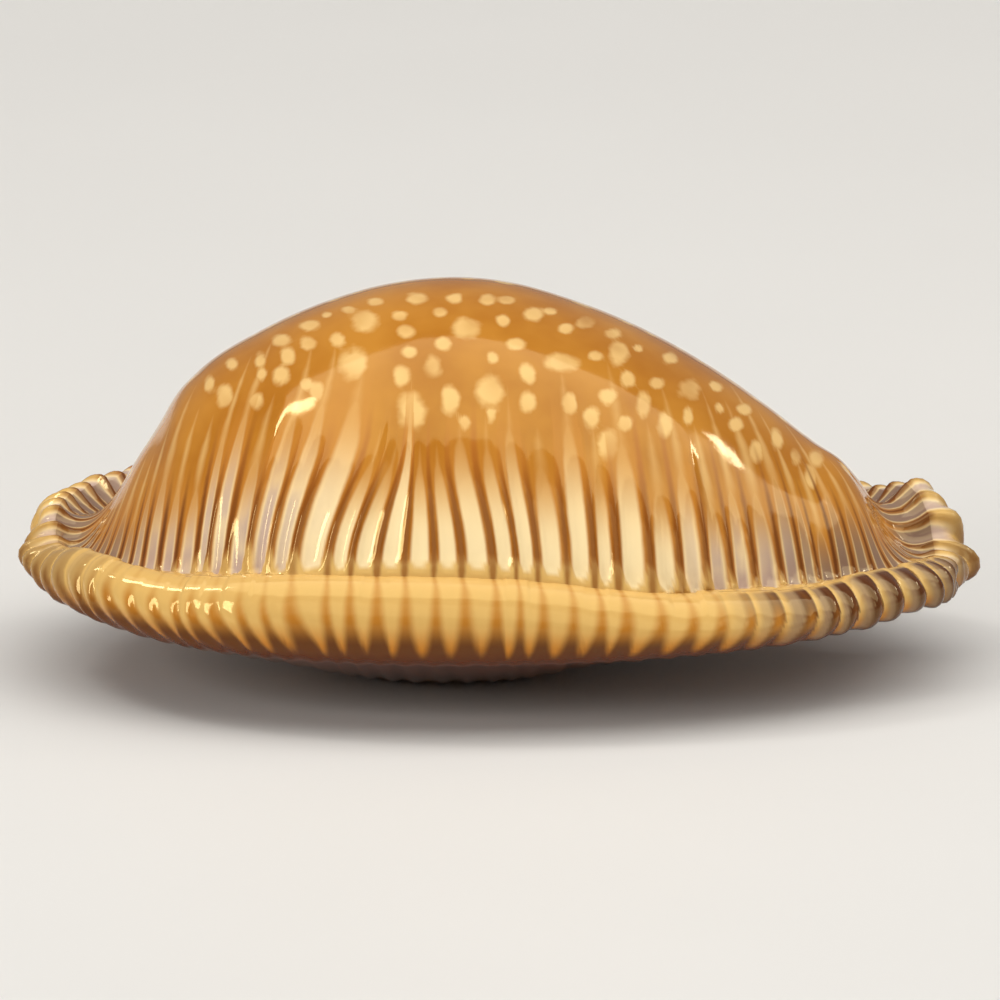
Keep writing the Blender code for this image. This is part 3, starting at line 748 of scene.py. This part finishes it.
def ring_facts(columns, place, rise):
    """What the glaze has to know at each vertex of an outer ring.

    place runs from 0 on the midline over 1 in the crease and 2 under the rim to 3 at the slit; rise is
    the length up the flank from the crease.
    """
    degrees = 90 - (90 - RIM_LOW_DEGREES) * np.clip(place - 1, 0, 1)
    counted = columns.slid(degrees)
    on_rim = smoothstep(0.97, 1.25, place) * (1 - smoothstep(1.8, 2.2, place))
    from_line = np.abs(wrapped(counted - on_rim * LINE_ON_RIM * columns.forward))
    girth = columns.line_girth[np.round(counted).astype(int) % RIBS]
    slimmer = 1 - 0.7 * columns.tip * smoothstep(1.2, 1.4, place) * (1 - smoothstep(1.85, 2, place))
    line_half = through(LINE_HALF_WIDTHS, np.full(len(columns.rib), place))

    climb = np.clip(rise / columns.furrow_reach, 0, 2)
    edge = 0.5 - (0.5 - FURROW_EDGE) * np.sqrt(np.clip(1 - climb ** FURROW_TAPER, 0, 1))
    streak_edge = 0.2 + 0.3 * (climb / columns.streak_reach) ** FURROW_TAPER
    opened = columns.open_rim * (1 - smoothstep(1.12, 1.4, place))
    furrow = np.maximum(np.abs(columns.from_rib) - edge, -0.5)
    on_flank = place < 1

    # Painted shade, partly purple-grey and brown tint, on the anterior side of each bulge of the rim at
    # the ends
    bulge_place = across_bulge(columns, counted)
    darker = columns.shade * smoothstep(1.0, 1.1, place) * (1 - smoothstep(1.9, 2.0, place))
    shaded = smoothstep(0.02, 0.3, bulge_place) * (1 - smoothstep(0.95, 1, bulge_place))
    shaded_brown_start = 0.5 - 0.2 * columns.tip
    browned_and_shaded = smoothstep(shaded_brown_start, shaded_brown_start + 0.2, bulge_place)
    browned_and_shaded *= 1 - smoothstep(0.96, 1, bulge_place)
    return {
        "place": place,
        "from_line": from_line,
        "line_half": girth * slimmer * line_half,
        "line_fade": 1 - smoothstep(0.55, 1.0, rise / columns.line_reach) if on_flank else 1.0,
        "furrow": np.where(on_flank | (opened > 0.01), furrow, -0.5),
        "streak": np.maximum(np.abs(columns.from_rib) - streak_edge, -0.5) if on_flank else -0.5,
        "climb": climb / 2,
        "closed": closing(columns, rise) if on_flank else 1 - opened,
        "shaded": shaded * darker,
        "browned_and_shaded": browned_and_shaded * darker,
        "tip": columns.tip,
        "flare": columns.endness,
        "rise": rise / 10,
    }


def shell_net():
    """The whole net, zipped up along the midline of the back and of the hollow's roof."""
    columns = Columns()
    rings, places, rises = outer_net(columns)
    normals = surface_normals(rings)
    count = len(columns.rib)
    spots = spot_field(rings.reshape(-1, 3), normals.reshape(-1, 3)).reshape(len(rings), count)

    net = Net()
    loops = []
    for number, points in enumerate(rings):
        facts = ring_facts(columns, places[number], rises[number])
        facts["spots"] = spots[number]
        every = 2 if number < DOME_RINGS else 1
        facts = {name: np.broadcast_to(value, count)[::every] for name, value in facts.items()}
        loops.append(net.add_ring(points[::every], facts))
    inside = [floor_ring(columns, step) for step in FLOOR_STEPS]
    inside += [roof_ring(columns, step) for step in ROOF_STEPS]
    every = COLUMNS_PER_RIB // 2
    lining = dict.fromkeys(facts, 0.0)
    lining.update(place=4.0, from_line=0.5, furrow=-0.5, streak=-0.5, closed=1.0, spots=-1.0)
    for points in inside:
        loops.append(net.add_ring(points[::every], lining))
    for ends in (loops[0], loops[-1]):
        mirror = np.roll(ends[::-1], 1)
        ends[:] = np.minimum(ends, mirror)
    for upper, lower in zip(loops, loops[1:]):
        net.bridge(upper, lower)
    return net


def shell_mesh(low, high):
    """The net as a mesh, centred in the plan of the CAD box and resting on the table."""
    net = shell_net()
    points = np.concatenate(net.points)
    points[:, 2] = np.maximum(points[:, 2], 0)
    room = (np.array(high) - np.array(low)) / MM
    middle = (points.min(axis=0) + points.max(axis=0)) / 2
    middle[2] = points[:, 2].min()
    fit = np.minimum(1, room / np.ptp(points, axis=0))
    points = (points - middle) * fit
    points[:, :2] += (np.array(low) + np.array(high))[:2] / 2 / MM
    data = bpy.data.meshes.new("cowrie_shell")
    data.from_pydata((points * MM).tolist(), [], net.faces)
    for name, values in net.facts.items():
        fact = data.attributes.new(name, "FLOAT", "POINT")
        fact.data.foreach_set("value", np.concatenate(values).astype(np.float32))
    data.validate()
    data.shade_smooth()
    return data


def opaque(colour):
    """A colour with full alpha."""
    return (*colour, 1.0)


class Tree:
    """Adds and joins the nodes of one shader or node group."""

    def __init__(self, tree):
        self.tree = tree

    def fill(self, sockets, values):
        """Joins or sets sockets, by name or number."""
        for name, value in values.items():
            if isinstance(value, bpy.types.NodeSocket):
                self.tree.links.new(value, sockets[name])
            else:
                sockets[name].default_value = value

    def node(self, kind, inputs=None, **settings):
        """A node with its settings, its inputs set or joined."""
        made = self.tree.nodes.new(kind)
        for name, value in settings.items():
            setattr(made, name, value)
        self.fill(made.inputs, inputs or {})
        return made

    def add(self, kind, inputs=None, **settings):
        """First output of a new node."""
        return self.node(kind, inputs, **settings).outputs[0]

    def group(self, group, inputs):
        """Outputs of a new node that holds a node group."""
        return self.node("ShaderNodeGroup", inputs, node_tree=group).outputs

    def fact(self, name):
        """A fact that the mesh keeps at each vertex."""
        made = self.node("ShaderNodeAttribute", attribute_name=name, attribute_type="GEOMETRY")
        return made.outputs["Fac"]

    def math(self, operation, first, second):
        """A sum, product or other operation on two values."""
        return self.add("ShaderNodeMath", {0: first, 1: second}, operation=operation)

    def plus(self, first, second):
        """Sum of two values."""
        return self.math("ADD", first, second)

    def times(self, first, second):
        """Product of two values."""
        return self.math("MULTIPLY", first, second)

    def ramp(self, value, low, high):
        """0 at low, 1 at high, with an easy curve between."""
        inputs = {"Value": value, "From Min": low, "From Max": high}
        return self.add("ShaderNodeMapRange", inputs, interpolation_type="SMOOTHSTEP")

    def blend(self, factor, first, second):
        """One colour turning into another as factor goes from 0 to 1."""
        made = self.node("ShaderNodeMix", data_type="RGBA")
        values = {"Factor_Float": factor}
        for name, colour in (("A_Color", first), ("B_Color", second)):
            joined = isinstance(colour, bpy.types.NodeSocket)
            values[name] = colour if joined else opaque(colour)
        self.fill({socket.identifier: socket for socket in made.inputs}, values)
        return next(socket for socket in made.outputs if socket.identifier == "Result_Color")

    def noise(self, scale, detail, roughness=0.5, stretch=(1.0, 1.0, 1.0)):
        """Cloudy noise from 0 to 1, scale in clouds per metre, stretched along an axis."""
        coordinates = self.node("ShaderNodeTexCoord").outputs["Object"]
        place = self.add("ShaderNodeMapping", {"Vector": coordinates, "Scale": stretch})
        inputs = {"Vector": place, "Scale": scale, "Detail": detail, "Roughness": roughness}
        return self.add("ShaderNodeTexNoise", inputs)


def new_group(name, inputs, outputs):
    """An empty shader node group with named values in and out, each input with its default."""
    group = bpy.data.node_groups.new(name, "ShaderNodeTree")
    for socket, default in inputs.items():
        made = group.interface.new_socket(socket, in_out="INPUT", socket_type="NodeSocketFloat")
        made.default_value = default
    for socket in outputs:
        group.interface.new_socket(socket, in_out="OUTPUT", socket_type="NodeSocketFloat")
    tree = Tree(group)
    entry = tree.node("NodeGroupInput")
    leave = tree.node("NodeGroupOutput")
    return group, tree, entry.outputs, leave.inputs


def soft_line_group():
    """Mask of a line with a soft, slightly ragged edge, from a distance and a half width."""
    inputs = {"Distance": 0.5, "Half Width": 0.1, "Softness": 0.1, "Raggedness": 0.03}
    group, tree, given, wanted = new_group("soft_line", inputs, ["Mask"])
    ragged = tree.math("SUBTRACT", tree.noise(RAGGED_EDGES, 3.0), 0.5)
    ragged = tree.times(ragged, given["Raggedness"])
    inside = tree.math("SUBTRACT", given["Half Width"], given["Distance"])
    inside = tree.plus(inside, ragged)
    low = tree.times(given["Softness"], -0.5)
    high = tree.times(given["Softness"], 0.5)
    tree.fill(wanted, {"Mask": tree.ramp(inside, low, high)})
    return group


def glaze_group():
    """Faint unevenness of a natural glaze, as a height for a bump, and its roughness."""
    names = ["Height", "Roughness"]
    group, tree, given, wanted = new_group("glaze_unevenness", {"Amount": 1.0}, names)
    waves = tree.noise(GLAZE_WAVES, 2.0)
    pores = tree.noise(GLAZE_PORES, 3.0, 0.6)
    height = tree.times(tree.plus(waves, tree.times(pores, 0.12)), given["Amount"])
    wear = tree.ramp(tree.noise(GLAZE_WEAR, 3.0), 0.35, 0.8)
    tree.fill(wanted, {"Height": height, "Roughness": tree.plus(0.06, tree.times(wear, 0.05))})
    return group


class ShellPaint(Tree):
    """The shell's colours, mixed from the facts that the mesh keeps at each vertex."""

    def __init__(self, tree, colours):
        super().__init__(tree)
        self.colours = colours
        self.place = self.fact("place")
        self.flare = self.fact("flare")
        self.closed = self.fact("closed")
        self.climb = self.fact("climb")
        self.tip = self.fact("tip")
        self.ends = self.ramp(self.flare, 0.0, 0.35)
        self.low_flank = self.ramp(self.climb, 0.5, 0.1)
        streaks = self.noise(STREAK_CLOUDS, 2.0, 0.5, (1.0, 1.0, 0.2))
        self.streaks = self.math("SUBTRACT", streaks, 0.5)

    def back(self):
        """Clouded amber with pale spots, and with pale streaks that run up from the furrows."""
        clouds = self.ramp(self.noise(AMBER_CLOUDS, 3.0), 0.3, 0.7)
        amber = self.blend(clouds, self.colours.amber_dark, self.colours.amber)
        ragged = self.times(self.math("SUBTRACT", self.noise(RAGGED_EDGES, 2.0), 0.5), 0.9)
        spot = self.ramp(self.plus(self.fact("spots"), ragged), -0.15, 0.5)
        spot = self.times(spot, self.ramp(self.noise(SPOT_CLOUDS, 1.0), 0.05, 0.6))
        streak_edge = self.plus(self.fact("streak"), self.times(self.streaks, 0.3))
        strength = self.plus(0.34, self.times(self.ends, 0.26))
        streak = self.times(self.ramp(streak_edge, -0.05, 0.25), strength)
        pale = self.math("MAXIMUM", spot, streak)
        return self.blend(self.times(pale, 0.85), amber, self.colours.spot)

    def ridges(self, back):
        """Sides of the ribs, which rise out of the rim and fade into the back."""
        low = self.low_flank
        ridge = self.blend(self.ramp(self.climb, 0.65, 0.3), back, self.colours.ridge)
        ridge = self.blend(self.times(low, self.flare), ridge, self.colours.ridge_dark)
        ridge = self.blend(self.times(self.tip, low), ridge, self.colours.ridge_tip)
        crest = self.times(self.ramp(self.place, 0.96, 1.08), self.tip)
        return self.blend(crest, ridge, self.colours.cream)

    def furrows(self, edge):
        """Pale furrows, towards the ends partly painted shade, with a painted highlight along their
        edges.
        """
        furrow = self.blend(self.low_flank, self.colours.furrow_high, self.colours.furrow)
        # Purple-grey low in the middles of the furrows towards the ends: partly the shell's tint, partly
        # painted shade
        grey = self.times(self.ramp(self.noise(LILAC_CLOUDS, 2.0), 0.1, 0.5), self.ends)
        grey = self.times(grey, self.ramp(self.climb, 0.5, 0.15))
        grey = self.times(grey, self.ramp(edge, 0.02, 0.2))
        furrow = self.blend(self.times(grey, 0.9), furrow, self.colours.lilac_and_shade)
        # Painted shade in the furrows of the dished flange at the tips, next to the crease
        dish = self.times(self.times(self.tip, 0.8), self.ramp(self.place, 1.05, 0.9))
        furrow = self.blend(dish, furrow, self.colours.painted_dish_shade)
        # Painted highlight: a pale line along the furrows' edges towards the ends, where the lamps would
        # glint
        outline = self.times(self.ramp(edge, -0.02, 0.03), self.ramp(edge, 0.12, 0.06))
        outline = self.times(outline, self.ends)
        return self.blend(self.times(outline, 0.6), furrow, self.colours.outline)

    def upper(self):
        """Back and flank without the brown lines."""
        edge = self.plus(self.fact("furrow"), self.times(self.streaks, 0.12))
        pale = self.times(self.ramp(edge, -0.05, 0.10), self.ramp(self.climb, 0.56, 0.2))
        return self.blend(pale, self.ridges(self.back()), self.furrows(edge))

    def rim(self):
        """Cream rim, with painted shade, partly tint, low down and in grey and brown on its bulges at
        the tips.
        """
        # Darker golden low on the rim: partly its tint, partly painted shade of the underside
        low = self.ramp(self.place, 1.45, 1.75)
        rim = self.blend(low, self.colours.cream, self.colours.cream_low_and_shade)
        rim = self.blend(self.times(self.fact("shaded"), 0.9), rim, self.colours.lilac_rim_and_shade)
        return self.blend(self.fact("browned_and_shaded"), rim, self.colours.line_dark_and_shade)

    def base(self):
        """Brown beside the rim, darkened there as painted shade of the underside, tan between the teeth.
        """
        inner = self.ramp(self.place, 2.3, 2.8)
        return self.blend(inner, self.colours.base_brown_and_shade, self.colours.base_pale)

    def line_mask(self):
        """Where the brown lines are: faint on the rim's crown and on the open crest of the tips."""
        softness = self.plus(0.18, self.times(self.ramp(self.place, 1.0, 1.4), 0.2))
        mask = self.group(soft_line_group(), {
            "Distance": self.fact("from_line"),
            "Half Width": self.fact("line_half"),
            "Softness": softness,
            "Raggedness": 0.08,
        })["Mask"]
        mask = self.times(mask, self.fact("line_fade"))
        crown = self.times(self.closed, self.ramp(self.place, 1.45, 1.2))
        crown = self.times(crown, self.plus(0.25, self.times(self.ends, 0.5)))
        mask = self.times(mask, self.math("SUBTRACT", 1.0, crown))
        crest = self.times(self.ramp(self.place, 0.96, 1.08), self.ramp(self.place, 1.5, 1.3))
        crest = self.times(self.times(crest, self.tip), 0.6)
        return self.times(mask, self.math("SUBTRACT", 1.0, crest))

    def lines(self):
        """Brown of the lines, by height, by end and by place on the rim, darker below it as painted
        shade.
        """
        fade = self.ramp(self.fact("rise"), 0.9, 0.4)
        brown = self.blend(fade, self.colours.line_high, self.colours.line)
        brown = self.blend(self.times(self.flare, 0.6), brown, self.colours.line_dark_and_shade)
        crown = self.times(self.ramp(self.place, 0.97, 1.1), self.math("SUBTRACT", 1.0, self.tip))
        brown = self.blend(crown, brown, self.colours.line_rim)
        # Darker below the rim: painted shade of the underside on the brown lines
        return self.blend(self.ramp(self.place, 1.45, 1.7), brown, self.colours.line_low_and_shade)

    def whole(self):
        """Every part of the shell, from the midline of the back to the lining of the hollow."""
        ground = self.blend(self.closed, self.upper(), self.rim())
        ground = self.blend(self.ramp(self.place, 1.72, 1.9), ground, self.base())
        outside = self.blend(self.line_mask(), ground, self.lines())
        return self.blend(self.ramp(self.place, 3.3, 3.9), outside, self.colours.lining)


def new_material(name):
    """A material with its node tree and its shader."""
    material = bpy.data.materials.new(name)
    material.use_nodes = True
    return material, material.node_tree, material.node_tree.nodes["Principled BSDF"]


def shell_glaze(colours, relief):
    """Porcelain glaze: amber back with pale spots, brown lines on pale furrows, cream rim."""
    material, nodes, shader = new_material("cowrie_glaze")
    paint = ShellPaint(nodes, colours)
    glaze = paint.group(glaze_group(), {"Amount": 1.0})
    bump = {"Strength": relief, "Distance": BUMP_DEPTH, "Height": glaze["Height"]}
    paint.fill(shader.inputs, {
        "Base Color": paint.whole(),
        "Roughness": glaze["Roughness"],
        "Normal": paint.add("ShaderNodeBump", bump),
        "IOR": GLAZE_IOR,
        "Specular Tint": opaque(WARM_GLOSS),
    })
    return material


def table_paint(colour):
    """Matt pale paint with the faint mottle of a studio table."""
    material, nodes, shader = new_material("table_paint")
    tree = Tree(nodes)
    shade = tree.ramp(tree.noise(TABLE_MOTTLE, 3.0), 0.2, 0.8)
    darker = [0.97 * part for part in colour]
    paint = tree.blend(shade, darker, colour)
    tree.fill(shader.inputs, {"Base Color": paint, "Roughness": 0.55})
    return material


def colour_property(name, red, green, blue, what):
    """A colour setting whose default is given as it looks on a screen."""
    return bpy.props.FloatVectorProperty(
        name=name, description=what, subtype="COLOR", size=3, min=0, max=1,
        default=linear(red, green, blue),
    )


class ShellColours(bpy.types.PropertyGroup):
    """Colours of the shell's glaze."""

    amber: colour_property("Amber", 198, 132, 44, "Lighter cloud of the back")
    amber_dark: colour_property("Dark amber", 178, 110, 26, "Darker cloud of the back")
    spot: colour_property("Spot", 242, 200, 128, "Pale spots on the back")
    ridge: colour_property("Ridge", 196, 126, 46, "Sides of the ribs on the flank")
    ridge_dark: colour_property("Dark ridge", 178, 110, 52, "Sides of the ribs at the two ends")
    ridge_tip: colour_property("Tip ridge", 168, 116, 58, "Sides of the ribs at the tips")
    # Painted highlight along the edges of the furrows towards the ends
    outline: colour_property("Outline", 248, 218, 160, "Edges of the furrows towards the ends")
    furrow_high: colour_property("Upper furrow", 234, 188, 118, "Furrows high on the flank")
    furrow: colour_property("Furrow", 255, 230, 178, "Furrows low on the flank")
    # Partly tint, partly painted shade in the furrows towards the ends
    lilac_and_shade: colour_property("Lilac shade", 192, 164, 154, "Shade in the furrows towards the ends")
    # Painted shade in the furrows of the dished flange at the tips
    painted_dish_shade: colour_property("Dark lilac shade", 118, 88, 70, "Shade in the furrows at the tips")
    # Painted shade, partly a purple-grey tint, on the bulges at the tips
    lilac_rim_and_shade: colour_property("Lilac rim", 140, 112, 88, "Shade on the bulges at the tips")
    cream: colour_property("Cream", 224, 180, 104, "Crown of the rim")
    # Partly tint, partly painted shade of the underside
    cream_low_and_shade: colour_property("Low cream", 200, 124, 32, "Lower half of the rim")
    # Brown darkened with painted shade of the underside
    base_brown_and_shade: colour_property("Base brown", 72, 22, 0, "Base beside the rim")
    base_pale: colour_property("Base tan", 190, 128, 62, "Base between the teeth")
    line_high: colour_property("Upper line", 178, 104, 36, "Brown lines where they fade out")
    line: colour_property("Line", 140, 76, 20, "Brown lines on the flank")
    # Also the painted shade, partly brown tint, on the anterior sides of the rim's bulges at the tips
    line_dark_and_shade: colour_property("Dark line", 88, 44, 18, "Brown lines at the two ends")
    line_rim: colour_property("Rim line", 192, 124, 42, "Brown lines on the crown of the rim")
    # Brown darkened with painted shade of the underside
    line_low_and_shade: colour_property("Low line", 92, 34, 0, "Brown lines below the rim")
    lining: colour_property("Lining", 214, 190, 178, "Inside of the hollow")


class ShellFinish(bpy.types.PropertyGroup):
    """Finish of the shell's glaze."""

    relief: bpy.props.FloatProperty(
        name="Unevenness", description="Strength of the glaze's fine bump", default=0.35, min=0, max=1,
    )


class Studio(bpy.types.PropertyGroup):
    """The table, the lamps and the camera."""

    table: colour_property("Table", 226, 224, 220, "Paint of the table")
    table_width: bpy.props.FloatProperty(
        name="Table width", description="Side of the square table", default=5.0, unit="LENGTH",
    )
    camera_distance: bpy.props.FloatProperty(
        name="Camera distance", description="From the camera to the shell", default=1.2, unit="LENGTH",
    )
    camera_elevation: bpy.props.FloatProperty(
        name="Camera elevation", description="Angle that the camera looks down by",
        default=math.radians(VIEW_ELEVATION), subtype="ANGLE",
    )
    view_width: bpy.props.FloatProperty(
        name="View width", description="Width of the picture at the shell", default=62.7 * MM,
        unit="LENGTH", precision=4,
    )
    aim_height: bpy.props.FloatProperty(
        name="Aim height", description="Height of the point that the camera looks at",
        default=10.58 * MM, unit="LENGTH", precision=4,
    )
    key_power: bpy.props.FloatProperty(
        name="Key power", description="Power of the large soft box overhead", default=6.0, unit="POWER",
    )
    front_power: bpy.props.FloatProperty(
        name="Front power", description="Power of the soft box in front", default=1.92, unit="POWER",
    )
    side_power: bpy.props.FloatProperty(
        name="Side power", description="Power of each small soft box", default=0.6, unit="POWER",
    )
    fill: bpy.props.FloatProperty(
        name="Fill", description="Strength of the even light from all round", default=0.25, min=0,
    )


class SHELL_OT_build_shell(bpy.types.Operator):
    """Build the cowrie shell with its ribs, spots and glaze"""

    bl_idname = "shell.build_shell"
    bl_label = "Build shell"

    def execute(self, context):
        scene = context.scene
        data = shell_mesh(*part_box("shell"))
        data.materials.append(shell_glaze(scene.shell_colours, scene.shell_finish.relief))
        shell = bpy.data.objects.new("cowrie_shell", data)
        scene.collection.objects.link(shell)
        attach(shell, "root")
        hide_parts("shell")
        return {"FINISHED"}


def aimed(location, target):
    """Turn that points a camera or lamp at location towards target."""
    return (Vector(target) - Vector(location)).to_track_quat("-Z", "Y").to_euler()


def soft_box(name, location, target, size, power, spin=0.0):
    """A rectangular studio lamp, spun round the line to its target."""
    lamp = bpy.data.lights.new(name, "AREA")
    lamp.shape = "RECTANGLE"
    lamp.size, lamp.size_y = size
    lamp.energy = power
    lamp.color = LAMP_COLOUR
    placed = bpy.data.objects.new(name, lamp)
    placed.location = location
    placed.rotation_euler = aimed(location, target)
    placed.rotation_euler.rotate_axis("Z", spin)
    bpy.context.scene.collection.objects.link(placed)


def table_mesh(width):
    """A flat square table top."""
    half = width / 2
    corners = [(-half, -half, 0), (half, -half, 0), (half, half, 0), (-half, half, 0)]
    data = bpy.data.meshes.new("table")
    data.from_pydata(corners, [], [(0, 1, 2, 3)])
    return data


class SHELL_OT_build_stage(bpy.types.Operator):
    """Set up the table, the lamps and the camera"""

    bl_idname = "shell.build_stage"
    bl_label = "Build stage"

    def execute(self, context):
        scene = context.scene
        studio = scene.shell_studio
        data = table_mesh(studio.table_width)
        data.materials.append(table_paint(studio.table))
        table = bpy.data.objects.new("table", data)
        scene.collection.objects.link(table)

        centre = (0, 0, studio.aim_height)
        below_key = (*KEY_PLACE[:2], 0)
        soft_box("key_box", KEY_PLACE, below_key, KEY_SIZE, studio.key_power, KEY_SPIN)
        soft_box("front_box", FRONT_PLACE, centre, FRONT_SIZE, studio.front_power)
        for name, place, size, share, spin in SMALL_BOXES:
            soft_box(name, place, centre, size, share * studio.side_power, spin)
        world = bpy.data.worlds.new("studio_air")
        world.use_nodes = True
        world.node_tree.nodes["Background"].inputs["Strength"].default_value = studio.fill
        world.node_tree.nodes["Background"].inputs["Color"].default_value = (1, 1, 1, 1)
        scene.world = world
        scene.view_settings.view_transform = "Standard"

        camera = bpy.data.cameras.new("camera")
        camera.sensor_width = SENSOR_WIDTH
        camera.lens = camera.sensor_width * studio.camera_distance / studio.view_width
        camera.clip_start = CLIP_START
        placed = bpy.data.objects.new("camera", camera)
        back = Vector((0, -math.cos(studio.camera_elevation), math.sin(studio.camera_elevation)))
        placed.location = Vector(centre) + studio.camera_distance * back
        placed.rotation_euler = aimed(placed.location, centre)
        scene.collection.objects.link(placed)
        scene.camera = placed
        return {"FINISHED"}


class SHELL_PT_panel(bpy.types.Panel):
    """Buttons and settings of the shell in the 3D view's sidebar"""

    bl_idname = "SHELL_PT_panel"
    bl_label = "Cowrie shell"
    bl_space_type = "VIEW_3D"
    bl_region_type = "UI"
    bl_category = "Shell"

    def draw(self, context):
        layout = self.layout
        layout.operator("shell.build_shell")
        layout.operator("shell.build_stage")
        scene = context.scene
        for settings in (scene.shell_colours, scene.shell_finish, scene.shell_studio):
            box = layout.box()
            for name in settings.__annotations__:
                box.prop(settings, name)


CLASSES = (ShellColours, ShellFinish, Studio, SHELL_OT_build_shell, SHELL_OT_build_stage, SHELL_PT_panel)


def register():
    for one in CLASSES:
        bpy.utils.register_class(one)
    bpy.types.Scene.shell_colours = bpy.props.PointerProperty(type=ShellColours)
    bpy.types.Scene.shell_finish = bpy.props.PointerProperty(type=ShellFinish)
    bpy.types.Scene.shell_studio = bpy.props.PointerProperty(type=Studio)


def unregister():
    del bpy.types.Scene.shell_studio
    del bpy.types.Scene.shell_finish
    del bpy.types.Scene.shell_colours
    for one in reversed(CLASSES):
        bpy.utils.unregister_class(one)


def main():
    register()
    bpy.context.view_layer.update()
    bpy.ops.shell.build_shell()
    bpy.ops.shell.build_stage()


if __name__ == "__main__":
    main()
